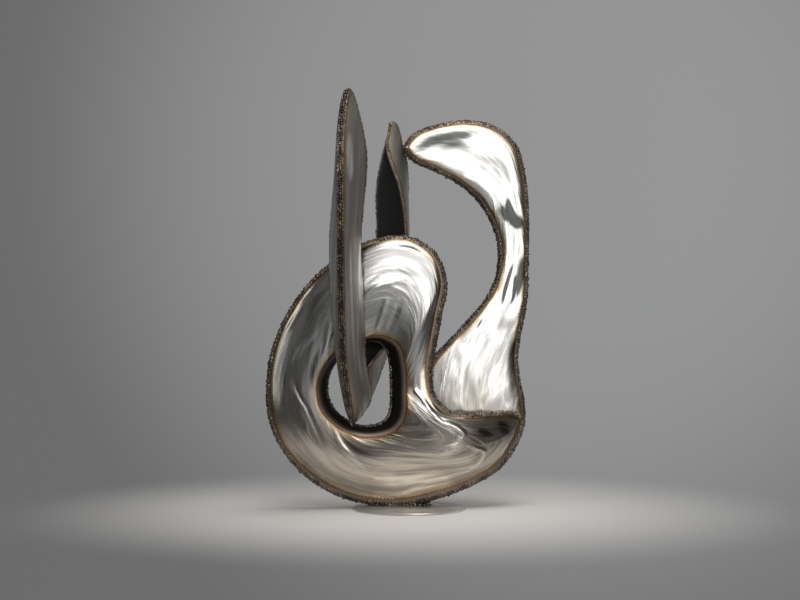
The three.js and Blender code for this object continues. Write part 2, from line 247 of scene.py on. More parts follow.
@dataclass
class Skin:
    """A surface on a grid: rows across the form, columns along it.

    Attributes:
        points: rows x columns x 3, in metres.
        flow: rows x columns x 3, where the brush strokes lie: along, along, across, in metres.
        seam: rows x columns, millimetres from the weld, above 0 on a face and below on a rim.
        tone: rows x columns, -1 where a sweep paints a dark reflection, 1 where it paints a highlight.
        wrap: whether the last row joins the first.
        fold: whether the first and the last row fold onto themselves along a middle line.
        caps: two points that close the first and the last row, if any.
    """

    points: Array
    flow: Array
    seam: Array
    tone: Array
    wrap: bool = False
    fold: bool = False
    caps: tuple[Array, Array] | None = None

    def build(self, name: str) -> bpy.types.Object:
        """Makes the closed mesh, its faces turned outwards, with its flow and seam attributes."""
        rows, columns = self.points.shape[:2]
        number = np.arange(rows * columns).reshape(rows, columns)
        if self.fold:
            mirrored = np.minimum(np.arange(columns), (columns - np.arange(columns)) % columns)
            number[0] = number[0][mirrored]
            number[-1] = number[-1][mirrored]
        lower = number if self.wrap else number[:-1]
        upper = np.roll(number, -1, axis=0) if self.wrap else number[1:]
        quads = np.stack(
            [lower, np.roll(lower, -1, axis=1), np.roll(upper, -1, axis=1), upper], axis=-1
        ).reshape(-1, 4)
        points, flow = self.points.reshape(-1, 3), self.flow.reshape(-1, 3)
        seam, tone = self.seam.reshape(-1), self.tone.reshape(-1)
        fans = np.empty((0, 3), int)
        if self.caps:
            first = len(points)
            points = np.vstack([points, *self.caps])
            flow = np.vstack([flow, self.flow[0].mean(axis=0), self.flow[-1].mean(axis=0)])
            seam = np.append(seam, [self.seam[0].mean(), self.seam[-1].mean()])
            tone = np.append(tone, [0.0, 0.0])
            low = np.stack([np.full(columns, first), np.roll(number[0], -1), number[0]], axis=1)
            high = np.stack([np.full(columns, first + 1), number[-1], np.roll(number[-1], -1)], axis=1)
            fans = np.vstack([low, high])
        used, fresh = np.unique(np.concatenate([quads.ravel(), fans.ravel()]), return_inverse=True)
        quads, fans = fresh[:quads.size].reshape(-1, 4), fresh[quads.size:].reshape(-1, 3)
        points, flow, seam, tone = points[used], flow[used], seam[used], tone[used]
        if enclosed(points, quads, fans) < 0:
            quads, fans = quads[:, ::-1], fans[:, ::-1]
        piece = mesh_object(name, points, quads, fans)
        add_attribute(piece, "flow", flow)
        add_attribute(piece, "seam", seam)
        add_attribute(piece, "tone", tone)
        return piece


def enclosed(points: Array, quads: Array, fans: Array) -> float:
    """Signed volume inside the faces: a sixth of the sum of each triangle's triple product."""
    triangles = np.vstack([quads[:, [0, 1, 2]], quads[:, [0, 2, 3]], fans])
    a, b, c = (points[triangles[:, corner]] for corner in range(3))
    return float(np.einsum("ij,ij->", a, np.cross(b, c)) / 6)


def mesh_object(name: str, points: Array, quads: Array, fans: Array | None = None) -> bpy.types.Object:
    """Puts points and faces into a smooth-shaded mesh object at the origin.

    Args:
        name: the object's name.
        points: vertex coordinates in metres.
        quads: four vertex numbers for each face.
        fans: three vertex numbers for each further face, or None.

    Returns:
        The object, linked to the scene.
    """
    groups = [quads] if fans is None or not len(fans) else [quads, fans]
    corners = np.concatenate([group.ravel() for group in groups]).astype(np.int32)
    sizes = np.concatenate([np.full(len(group), group.shape[1]) for group in groups])
    starts = (np.cumsum(sizes) - sizes).astype(np.int32)
    mesh = bpy.data.meshes.new(name)
    mesh.vertices.add(len(points))
    mesh.vertices.foreach_set("co", np.ascontiguousarray(points, np.float32).ravel())
    mesh.loops.add(len(corners))
    mesh.loops.foreach_set("vertex_index", corners)
    mesh.polygons.add(len(sizes))
    mesh.polygons.foreach_set("loop_start", starts)
    mesh.polygons.foreach_set("use_smooth", np.ones(len(sizes), bool))
    mesh.update(calc_edges=True)
    mesh.validate()
    piece = bpy.data.objects.new(name, mesh)
    bpy.context.collection.objects.link(piece)
    return piece


def add_attribute(piece: bpy.types.Object, name: str, values: Array) -> None:
    """Stores one number or one vector for each vertex under a name that the finishes read."""
    vector = values.ndim == 2
    layer = piece.data.attributes.new(name, "FLOAT_VECTOR" if vector else "FLOAT", "POINT")
    layer.data.foreach_set("vector" if vector else "value", values.astype(np.float32).ravel())


# ------------------------------------------------------------------ shader writing

class Term:
    """A shader socket that can be written into sums and products."""

    def __init__(self, graph: "Graph", socket: bpy.types.NodeSocket) -> None:
        """Keeps the socket and the graph that it belongs to."""
        self.graph = graph
        self.socket = socket

    def _math(self, operation: str, *values: Any) -> "Term":
        """One Math node over the given numbers or terms."""
        return self.graph.node("ShaderNodeMath", {"operation": operation}, dict(enumerate(values)))

    def __add__(self, other: Any) -> "Term":
        """Sum."""
        return self._math("ADD", self, other)

    def __radd__(self, other: Any) -> "Term":
        """Sum with a number on the left."""
        return self._math("ADD", other, self)

    def __sub__(self, other: Any) -> "Term":
        """Difference."""
        return self._math("SUBTRACT", self, other)

    def __rsub__(self, other: Any) -> "Term":
        """Difference from a number on the left."""
        return self._math("SUBTRACT", other, self)

    def __mul__(self, other: Any) -> "Term":
        """Product."""
        return self._math("MULTIPLY", self, other)

    def __rmul__(self, other: Any) -> "Term":
        """Product with a number on the left."""
        return self._math("MULTIPLY", other, self)

    def __truediv__(self, other: Any) -> "Term":
        """Quotient."""
        return self._math("DIVIDE", self, other)

    def __rtruediv__(self, other: Any) -> "Term":
        """Quotient of a number on the left."""
        return self._math("DIVIDE", other, self)

    def __pow__(self, other: Any) -> "Term":
        """Power."""
        return self._math("POWER", self, other)

    def rise(self, low: float, high: float) -> "Term":
        """0 below low, 1 above high, smooth between; with low above high it falls instead."""
        return self.graph.node(
            "ShaderNodeMapRange",
            {"interpolation_type": "SMOOTHSTEP", "clamp": True},
            {"Value": self, "From Min": low, "From Max": high, "To Min": 0.0, "To Max": 1.0},
        )


class Graph:
    """The node tree of one material or of the world."""

    def __init__(self, owner: bpy.types.ID, output: str = "ShaderNodeOutputMaterial") -> None:
        """Empties the owner's tree and gives it an output."""
        owner.use_nodes = True
        self.owner = owner
        self.tree = owner.node_tree
        self.tree.nodes.clear()
        self.output = self.tree.nodes.new(output)

    def node(self, kind: str, settings: dict[str, Any], inputs: dict[Any, Any], output: Any = 0) -> Term:
        """Adds any node.

        Args:
            kind: the node's type name.
            settings: its properties; "stops" fills a colour ramp with (place, colour) pairs.
            inputs: values or terms for its sockets, by name or number.
            output: which of its outputs to return.

        Returns:
            The chosen output as a term.
        """
        made = self.tree.nodes.new(kind)
        for key, value in settings.items():
            if key == "stops":
                fill_ramp(made.color_ramp, value)
            else:
                setattr(made, key, value)
        for key, value in inputs.items():
            self.feed(made.inputs[key], value)
        return Term(self, made.outputs[output])

    def feed(self, socket: bpy.types.NodeSocket, value: Any) -> None:
        """Links a term to a socket, or sets the socket's own value."""
        if isinstance(value, Term):
            self.tree.links.new(value.socket, socket)
        elif isinstance(value, tuple) and len(value) == 3 and socket.type == "RGBA":
            socket.default_value = (*value, 1.0)
        else:
            socket.default_value = value

    def attribute(self, name: str, output: str = "Fac") -> Term:
        """Reads a vertex attribute of the piece."""
        settings = {"attribute_type": "GEOMETRY", "attribute_name": name}
        return self.node("ShaderNodeAttribute", settings, {}, output)

    def object_place(self) -> Term:
        """The place on the piece in metres."""
        return self.node("ShaderNodeTexCoord", {}, {}, "Object")

    def scaled(self, place: Term, scale: Point) -> Term:
        """A place stretched for a pattern."""
        return self.node("ShaderNodeMapping", {"vector_type": "POINT"}, {"Vector": place, "Scale": scale})

    def noise(self, place: Term, scale: float, detail: float = 2.0, warp: float = 0.0) -> Term:
        """Soft noise from 0 to 1."""
        inputs = {"Vector": place, "Scale": scale, "Detail": detail, "Roughness": 0.5, "Distortion": warp}
        return self.node("ShaderNodeTexNoise", {"noise_dimensions": "3D"}, inputs)

    def mix(self, share: Any, first: Any, second: Any, blend: str = "MIX") -> Term:
        """Blends two colours."""
        settings = {"data_type": "RGBA", "blend_type": blend, "clamp_factor": True}
        return self.node("ShaderNodeMix", settings, {0: share, 6: first, 7: second}, 2)

    def ramp(self, value: Term, stops: Sequence[tuple[float, Point]]) -> Term:
        """Colours from a row of stops."""
        return self.node("ShaderNodeValToRGB", {"stops": stops}, {0: value})

    def finish(
        self, inputs: dict[str, Any], height: Term | None = None, depth: float = 0.0
    ) -> bpy.types.Material:
        """Closes the graph with a Principled shader.

        Args:
            inputs: values or terms for the shader's sockets.
            height: relief from 0 to 1 for a Bump node, or None.
            depth: how deep that relief is, in metres.

        Returns:
            The finished material.
        """
        if height is not None:
            bumped = {"Height": height, "Distance": depth, "Strength": 1.0}
            inputs = {**inputs, "Normal": self.node("ShaderNodeBump", {}, bumped)}
        return self.close(self.node("ShaderNodeBsdfPrincipled", {}, inputs))

    def close(self, shader: Term) -> Any:
        """Links the last shader to the output and returns the owner."""
        self.feed(self.output.inputs["Surface"], shader)
        return self.owner


def fill_ramp(ramp: bpy.types.ColorRamp, stops: Sequence[tuple[float, Point]]) -> None:
    """Sets a colour ramp's stops, each a place from 0 to 1 and a colour."""
    while len(ramp.elements) < len(stops):
        ramp.elements.new(1.0)
    for element, (place, colour) in zip(ramp.elements, stops):
        element.position = place
        element.color = (*colour, 1.0)


# ------------------------------------------------------------------ finishes

TINT_REACH = 12.0  # millimetres from a weld that the heat colours reach
TINTS = (
    (0.00, (0.16, 0.105, 0.075)),
    (0.05, (0.26, 0.155, 0.10)),
    (0.11, (0.52, 0.32, 0.18)),
    (0.18, (0.82, 0.63, 0.41)),
    (0.30, (0.94, 0.85, 0.69)),
    (0.60, (0.99, 0.97, 0.91)),
    (1.00, (1.00, 1.00, 1.00)),
)
SCORCH_TO_SHADE_REACH = 12.0  # millimetres past a weld, off the face, over which the brown scorch turns to painted black shade
# colour past a weld: painted black shade deep in at 0, brown scorch by the weld at 1
SCORCH_AND_SHADE = (
    (0.00, (0.006, 0.0055, 0.005)),
    (0.25, (0.012, 0.010, 0.009)),
    (0.45, (0.120, 0.095, 0.075)),
    (0.75, (0.300, 0.250, 0.205)),
    (1.00, (0.240, 0.180, 0.135)),
)


@dataclass(frozen=True)
class BrushedSheet:
    """Hand-brushed stainless sheet: strokes, heat colours and scorch by the welds, painted reflections,
    highlights and shade.

    Attributes:
        name: the material's name.
        light: the brightest strokes' colour.
        dark: the darker strokes' colour.
        dark_reflection: the colour of the dark reflection that a sweep paints.
        painted_highlight: the colour of the highlight that a sweep paints.
        warm: what the colours are multiplied by low down, a painted reflection of the pale floor.
        smooth: roughness of the most polished strokes.
        coarse: roughness of the dullest strokes.
        wave: depth in metres of the sheet's hand-worked unevenness.
        stretch: strokes per metre along the flow, for the broad strokes.
        seed: shifts the strokes from piece to piece.
    """

    name: str
    light: Point = (0.87, 0.855, 0.83)
    dark: Point = (0.37, 0.36, 0.345)
    dark_reflection: Point = (0.085, 0.086, 0.083)
    painted_highlight: Point = (0.95, 0.94, 0.92)
    warm: Point = (0.84, 0.775, 0.68)
    smooth: float = 0.13
    coarse: float = 0.34
    wave: float = 0.0013
    stretch: float = 9.0
    seed: float = 0.0

    def material(self) -> bpy.types.Material:
        """Builds the material."""
        g = Graph(bpy.data.materials.new(self.name))
        flow = g.node("ShaderNodeVectorMath", {"operation": "ADD"},
                      {0: g.attribute("flow", "Vector"), 1: (self.seed, 0.0, 0.0)})
        place = g.object_place()
        seam = g.attribute("seam")
        tone = g.attribute("tone")

        run = self.stretch
        broad = g.noise(g.scaled(flow, (run, run, 34)), 1.0, 2.0, 0.9)
        feather = g.noise(g.scaled(flow, (run * 1.8, run * 1.8, 120)), 1.0, 3.0, 0.7)
        hair = g.noise(g.scaled(flow, (run * 5, run * 5, 900)), 1.0, 2.0, 0.2)
        cloud = g.noise(place, 14.0, 2.0, 0.4)
        strokes = (broad * 0.5 + feather * 0.38 + hair * 0.12).rise(0.36, 0.64)
        # painted reflections: dark patches and highlights where the sweeps lie, broken at their edges by the
        # strokes
        dark_reflection_mask = ((feather - 0.5) * 1.2 + (broad - 0.5) * 0.8 - tone * 1.25).rise(0.25, 0.95)
        highlight_mask = ((feather - 0.5) * 0.8 + tone).rise(0.25, 0.9)

        wobble = (g.noise(place, 75.0, 3.0, 0.5) - 0.5) * 6.0 + (cloud - 0.5) * 4.0
        from_weld = (seam + wobble * seam.rise(0.0, 4.0)) / TINT_REACH
        steel = g.mix(strokes, self.dark, self.light)
        steel = g.mix(highlight_mask, g.mix(dark_reflection_mask, steel, self.dark_reflection), self.painted_highlight)
        height_above = g.node("ShaderNodeSeparateXYZ", {}, {0: place}, 2)
        # painted reflection of the pale floor: the sheet turns warmer low down
        floor_reflection = (height_above + (cloud - 0.5) * 0.2).rise(0.24, 0.06)
        steel = g.mix(floor_reflection, steel, g.mix(1.0, steel, self.warm, "MULTIPLY"))
        face = g.mix(1.0, steel, g.ramp(from_weld, TINTS), "MULTIPLY")

        grain = g.noise(place, 900.0, 2.0, 0.0)
        # past a weld the colour goes from brown scorch to painted black shade, deepest on the hole's wall and
        # the plain horn sides
        scorch_and_shade = seam / SCORCH_TO_SHADE_REACH + 1.0 + (grain - 0.5) * 0.2 + (cloud - 0.5) * 0.3
        on_face = seam.rise(-0.3, 0.5)
        colour = g.mix(on_face, g.ramp(scorch_and_shade, SCORCH_AND_SHADE), face)

        worn = self.smooth + (self.coarse - self.smooth) * (1.0 - strokes) + (1.0 - seam.rise(0.0, 3.0)) * 0.2
        roughness = on_face * (worn + dark_reflection_mask * 0.1) + (1.0 - on_face) * (0.38 + grain * 0.2)
        metal = scorch_and_shade.rise(0.30, 0.45)
        height = (broad * 0.80 + feather * 0.16 + hair * 0.005) * on_face + (1.0 - on_face) * grain * 0.1
        inputs = {"Base Color": colour, "Roughness": roughness, "Metallic": metal, "Specular IOR Level": 0.1}
        return g.finish(inputs, height, self.wave)


@dataclass(frozen=True)
class HornSheet(BrushedSheet):
    """The horns' duller sheet, brushed lengthwise in long thin strokes."""

    light: Point = (0.70, 0.67, 0.635)
    dark: Point = (0.36, 0.345, 0.325)
    smooth: float = 0.36
    coarse: float = 0.54
    wave: float = 0.0012
    stretch: float = 3.0


@dataclass(frozen=True)
class WeldMetal:
    """Rough dark weld beads with a little shine on their crowns."""

    name: str = "weld_metal"
    dark: Point = (0.05, 0.042, 0.036)
    brown: Point = (0.34, 0.275, 0.215)

    def material(self) -> bpy.types.Material:
        """Builds the material."""
        g = Graph(bpy.data.materials.new(self.name))
        place = g.object_place()
        patch = g.noise(place, 70.0, 2.0, 0.3).rise(0.38, 0.66)
        grain = g.noise(place, 1400.0, 2.0, 0.0)
        colour = g.mix(patch * 0.7 + grain * 0.3, self.dark, self.brown)
        inputs = {"Base Color": colour, "Roughness": 0.22 + grain * 0.3, "Metallic": 0.9}
        return g.finish(inputs, grain, 0.0003)


@dataclass(frozen=True)
class PlateSteel:
    """Satin steel plate with faint turning marks round its centre and a few cloudy smears."""

    name: str = "plate_steel"
    light: Point = (0.78, 0.745, 0.70)
    dark: Point = (0.58, 0.55, 0.52)

    def material(self) -> bpy.types.Material:
        """Builds the material."""
        g = Graph(bpy.data.materials.new(self.name))
        place = g.object_place()
        rings = g.node("ShaderNodeTexWave", {"wave_type": "RINGS", "rings_direction": "Z"},
                       {"Vector": place, "Scale": 260.0, "Distortion": 1.5, "Detail": 2.0}, "Fac")
        cloud = g.noise(place, 22.0, 3.0, 0.6)
        colour = g.mix(cloud.rise(0.35, 0.7), self.dark, self.light)
        roughness = 0.30 + rings * 0.08 + cloud * 0.12
        return g.finish({"Base Color": colour, "Roughness": roughness, "Metallic": 0.8}, rings, 0.00003)


@dataclass(frozen=True)
class FloorPaint:
    """Matt pale floor that fades out round the object."""

    name: str = "pale_floor"
    colour: Point = (0.72, 0.70, 0.665)
    near: float = 0.10
    far: float = 0.62

    def material(self) -> bpy.types.Material:
        """Builds the material: a diffuse surface that gives way to a clear one with distance."""
        g = Graph(bpy.data.materials.new(self.name))
        place = g.object_place()
        away = g.node("ShaderNodeVectorMath", {"operation": "LENGTH"}, {0: place}, "Value")
        paint = g.node("ShaderNodeBsdfDiffuse", {}, {"Color": (*self.colour, 1.0)})
        clear = g.node("ShaderNodeBsdfTransparent", {}, {})
        shader = g.node("ShaderNodeMixShader", {}, {0: away.rise(self.near, self.far), 1: paint, 2: clear})
        return g.close(shader)


class Slot(Enum):
    """The record's material slots."""

    SHEET = "sheet_steel"
    WELD = "weld_bead"
    BASE = "base_steel"


def dress(piece: bpy.types.Object, material: bpy.types.Material, slot: Slot, nodes: Iterable[str]) -> None:
    """Gives a piece its material, hangs it under the root, hides the solids that it stands for and logs its
    slot.

    Args:
        piece: the finished object.
        material: its material.
        slot: the record's slot that the material stands for.
        nodes: the solids that the piece stands for.
    """
    piece.data.materials.clear()
    piece.data.materials.append(material)
    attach(piece, ROOT)
    for node in nodes:
        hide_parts(node)
    LOG.info("%s: %d faces, %s", piece.name, len(piece.data.polygons), slot.value)


# ------------------------------------------------------------------ weld beads

@dataclass
class Seam:
    """A line of weld: its points, which way is out, and which way is across the bead's run."""

    line: Array
    out: Array
    across: Array
    closed: bool = False

    def sampled(self, spacing: float) -> tuple[Array, Array, Array]:
        """Points, outward and across directions at an equal spacing along the line.

        Args:
            spacing: distance from one bead to the next in metres.

        Returns:
            Three arrays of the same length.
        """
        line, out, across = self.line, self.out, self.across
        if self.closed:
            line, out, across = (np.vstack([a, a[:1]]) for a in (line, out, across))
        length = travelled(line)
        count = max(2, int(length[-1] / spacing))
        places = np.linspace(0.0, length[-1], count, endpoint=not self.closed)
        parts = [
            np.stack([np.interp(places, length, a[:, axis]) for axis in range(3)], axis=1)
            for a in (line, out, across)
        ]
        return parts[0], unit(parts[1]), unit(parts[2])


@dataclass
class WeldBeads:
    """Small lumpy beads in rows along seams.

    Attributes:
        name: the piece's name.
        radius: a bead's mean radius in metres.
        spacing: from one bead to the next along a row.
        rows: each row's offset out and across in metres.
        proud: how far a bead's centre stands out from the seam, as a share of its radius.
        seed: starts the row of random sizes, so that each run gives the same beads.
    """

    name: str
    radius: float = 0.0021
    spacing: float = 0.0038
    rows: tuple[tuple[float, float], ...] = ((0.0, 0.0),)
    proud: float = -0.45
    seed: int = 1
    sides: int = 6
    rings: int = 3

    def build(self, seams: Sequence[Seam], node: str) -> bpy.types.Object:
        """Places one bead at every spacing of every row and joins them into one mesh.

        Args:
            seams: the lines that the beads follow.
            node: the solid whose own box the beads stay inside.

        Returns:
            The finished object.
        """
        chance = np.random.default_rng(self.seed)
        centres, outs, acrosses = [], [], []
        for seam in seams:
            for out_offset, across_offset in self.rows:
                line, out, across = seam.sampled(self.spacing)
                centres.append(line + out * out_offset + across * across_offset)
                outs.append(out)
                acrosses.append(across)
        centre, out, across = (np.vstack(parts) for parts in (centres, outs, acrosses))
        count = len(centre)
        along = unit(np.cross(across, out))
        size = self.radius * chance.uniform(0.55, 1.35, (count, 1))
        centre = centre + out * (self.proud * size)
        centre = centre + along * chance.normal(0, 0.18, (count, 1)) * self.spacing
        centre = centre + across * chance.normal(0, 0.22, (count, 1)) * self.radius
        ball, quads, fans = self.bead()
        stretch = chance.uniform(0.8, 1.3, (count, 3))
        lumps = 1 + 0.16 * chance.normal(0, 1, (count, len(ball), 1)).clip(-1.6, 1.6)
        shape = ball[None] * lumps * stretch[:, None, :] * size[:, None, :]
        axes = np.stack([along, across, out], axis=1)
        points = centre[:, None, :] + np.einsum("nmk,nkj->nmj", shape, axes)
        points = np.clip(points, *(np.array(end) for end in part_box(node)))
        shift = (np.arange(count) * len(ball))[:, None, None]
        return mesh_object(self.name, points.reshape(-1, 3), (quads[None] + shift).reshape(-1, 4),
                           (fans[None] + shift).reshape(-1, 3))

    def bead(self) -> tuple[Array, Array, Array]:
        """A ball of a few dozen faces: rings of points between two poles.

        Returns:
            Its points, its four-sided faces and the triangles round its poles.
        """
        tilt = np.linspace(0, math.pi, self.rings + 2)[1:-1, None]
        turn = np.linspace(0, 2 * math.pi, self.sides, endpoint=False)[None, :]
        grid = np.stack(
            [np.sin(tilt) * np.cos(turn), np.sin(tilt) * np.sin(turn), np.cos(tilt) * np.ones_like(turn)],
            axis=-1,
        )
        ball = np.vstack([grid.reshape(-1, 3), [[0, 0, 1]], [[0, 0, -1]]])
        number = np.arange(self.rings * self.sides).reshape(self.rings, self.sides)
        upper, lower = number[:-1], number[1:]
        quads = np.stack([upper, lower, np.roll(lower, -1, 1), np.roll(upper, -1, 1)], -1).reshape(-1, 4)
        top, foot = len(ball) - 2, len(ball) - 1
        crown = np.stack([np.full(self.sides, top), number[0], np.roll(number[0], -1)], 1)
        base = np.stack([np.full(self.sides, foot), np.roll(number[-1], -1), number[-1]], 1)
        return ball, quads, np.vstack([crown, base])


# ------------------------------------------------------------------ sheet forms

# marks: path, half width, relief, and painted reflection: below 0 a painted dark reflection, above 0 a
# painted highlight
BODY_SWEEPS = (
    Sweep(((9, 173), (20, 161), (32, 144), (47, 128), (59, 125), (72, 118), (79, 111), (76, 103), (67, 93),
           (57, 86), (48, 84)), 5.5, 1.7, 1.0),
    Sweep(((55, 118), (65, 109), (63, 100), (57, 93), (50, 87)), 3.5, 0.4, 0.6),
    Sweep(((89, 93), (100, 88), (109, 83), (107, 74), (99, 64), (88, 57), (75, 52)), 5.5, 1.6, 1.0),
    Sweep(((2, 178), (10, 152), (24, 136)), 11, 0.0, -0.45),
    Sweep(((1, 154), (10, 144), (21, 131)), 4, 0.5, 0.8),
    Sweep(((96, 118), (110, 112), (124, 106)), 15, 0.0, -0.8),
    Sweep(((125, 128), (140, 118), (150, 104)), 17, 0.0, -0.7),
    Sweep(((148, 98), (139, 82), (131, 69)), 4, 0.5, 0.9),
    Sweep(((-133, 281), (-143, 253), (-158, 234), (-168, 213)), 7, 0.6, 0.8),
    Sweep(((-115, 273), (-119, 245), (-124, 211)), 8, 0.6, 0.7),
    Sweep(((-170, 197), (-171, 182), (-163, 164), (-150, 144)), 5, 0.4, 0.7),
    Sweep(((-167, 190), (-160, 167), (-146, 142), (-133, 112), (-118, 83)), 5, -0.5, -0.6),
    Sweep(((-151, 126), (-150, 115), (-143, 101), (-132, 87), (-127, 77)), 5, 0.4, 0.6),
    Sweep(((-108, 119), (-105, 105), (-94, 88), (-80, 74), (-65, 59), (-50, 46)), 6, 0.5, 0.6),
    Sweep(((-95, 74), (-81, 63), (-67, 52), (-48, 45)), 7, 0.4, 0.5),
    Sweep(((-110, 112), (-90, 96), (-66, 86), (-40, 84)), 14, -0.5, -0.7),
    Sweep(((-120, 325), (-140, 300), (-150, 262)), 20, 0.0, -0.6),
    Sweep(((-128, 240), (-140, 205), (-146, 170)), 12, 0.0, -0.6),
    Sweep(((-178, 235), (-184, 205), (-182, 175)), 10, 0.0, -0.5),
    Sweep(((-118, 346), (-136, 332), (-149, 314)), 7, 0.5, 0.9),
    Sweep(((-155, 299), (-166, 282), (-177, 262)), 5, 0.5, 0.9),
    Sweep(((-198, 225), (-200, 200), (-201, 170), (-196, 140)), 5, 0.4, 0.7),
    Sweep(((-20, 386), (4, 382), (22, 371)), 5, 0.0, -0.7),
    Sweep(((-64, 330), (-42, 343), (-12, 345), (8, 330)), 3.5, -0.4, -0.5),
    Sweep(((-64, 316), (-45, 326), (-14, 333)), 5, 0.5, 0.6),
    Sweep(((-49, 259), (-40, 285), (-33, 308)), 6, 0.4, 0.4),
    Sweep(((-30, 262), (-20, 285), (-14, 300)), 7, -0.4, -0.5),
)
# marks on the band, all painted dark reflections
BAND_SWEEPS = (
    Sweep(((133, 446), (150, 430), (175, 416)), 17, 0.0, -1.1),
    Sweep(((146, 458), (152, 436), (160, 415)), 8, 0.0, -1.1),
    Sweep(((170, 372), (167, 345), (160, 312)), 12, 0.0, -1.0),
    Sweep(((156, 362), (144, 325), (138, 298)), 5, -0.3, -1.0),
    Sweep(((158, 342), (155, 309), (150, 298)), 4, 0.0, -0.8),
    Sweep(((158, 262), (154, 231), (155, 186), (157, 136)), 17, 0.0, -0.75),
    Sweep(((6, 528), (31, 541), (60, 547), (98, 552)), 17, 0.0, -0.9),
    Sweep(((40, 526), (70, 534), (96, 530)), 12, 0.0, -0.6),
    Sweep(((110, 280), (100, 262)), 4, 0.0, -0.6),
)
# marks on the front horn, all painted highlights
FRONT_HORN_SWEEPS = (
    Sweep(((-84, 540), (-84, 503), (-82, 470)), 9, 0.3, 1.0),
    Sweep(((-70, 400), (-72, 340), (-70, 290)), 3.5, 0.3, 1.0),
    Sweep(((-84, 400), (-83, 330), (-80, 250), (-76, 190)), 3.5, 0.3, 1.0),
    Sweep(((-74, 300), (-74, 230), (-68, 175)), 3.5, 0.3, 0.9),
)
PILLOW_WIDTH = 100 * MM
SHEET_MARKS_START = 9.0  # millimetres from a weld where a sweep's mark has its full strength
HORN_MARKS_START = 6.0
CRUST_ANGLE = 58  # degrees round the rim strip to the outermost line of crust on either side
HORN_CUT_LIMIT = 0.2  # a cut corner takes no more than this share of a side
HORN_SWELL_LIMIT = 0.1  # a side swells by no more than this share of its length
RIM_SHARE = 0.45  # a rim strip counts as this much nearer to its weld than it is, so it stays brown
EDGE_RISE = 0.6 * MM
EDGE_REACH = 2.2


def fullness(width: Array) -> Array:
    """How full a face of this width swells: 1 minus e to the minus width squared."""
    return 1 - np.exp(-(width / PILLOW_WIDTH) ** 2)


def set_back(by: float, distance: Array, over: float) -> Array:
    """How far a sheet's middle is set back: it grows as the square of a distance.

    Args:
        by: the set-back in millimetres where the distance equals over.
        distance: metres past the place where it starts; below 0 nothing is set back.
        over: millimetres over which it grows to that much.

    Returns:
        Metres, positive to the back.
    """
    return by * MM * np.maximum(0, distance / (over * MM)) ** 2


def raised_edges(points: Array, rows: slice, edge: int) -> None:
    """Lifts a front face beside its rim's weld: a rise times 1 minus e to the minus distance.

    Args:
        points: the skin's points, changed in place.
        rows: which rows are the front face.
        edge: the row that lies along the rim's weld.
    """
    away = nearest(points[rows], points[edge][::2]) / MM
    points[rows, :, 1] -= EDGE_RISE * (1 - np.exp(-away / EDGE_REACH))


def rim_profile(count: int) -> tuple[Array, Array]:
    """The rim strip's rounding from the outline in: a quarter of a squarish ellipse.

    Args:
        count: number of rows.

    Returns:
        Shares of the strip's inset and shares of the half thickness.
    """
    turn = np.linspace(0.08, 0.96, count) * math.pi / 2
    return (1 - np.cos(turn)) ** 1.05, np.sin(turn) ** 0.8


def crust_seams(form: Any, away: Array, count: int) -> list[Seam]:
    """Weld lines side by side over a rim strip, from near the front face to near the back face.

    Args:
        form: a sheet form with a rim line, a placing rule and a rim half thickness.
        away: unit directions out of its outline in the outline's plane.
        count: how many lines to lay.

    Returns:
        The lines; each one's outward direction turns with the strip's rounding.
    """
    flat = np.stack([away[:, 0], 0 * away[:, 0], away[:, 1]], axis=1)
    depth = np.array([[0.0, 1.0, 0.0]])
    seams = []
    for angle in np.radians(np.linspace(-CRUST_ANGLE, CRUST_ANGLE, count)):
        inset, half = (1 - math.cos(angle)) ** 1.05, math.copysign(abs(math.sin(angle)) ** 0.8, angle)
        line = form.place(form.rim(inset), half * form.rim_half)
        out = flat * math.cos(angle) + depth * math.sin(angle)
        seams.append(Seam(line, out, depth * math.cos(angle) - flat * math.sin(angle), True))
    return seams


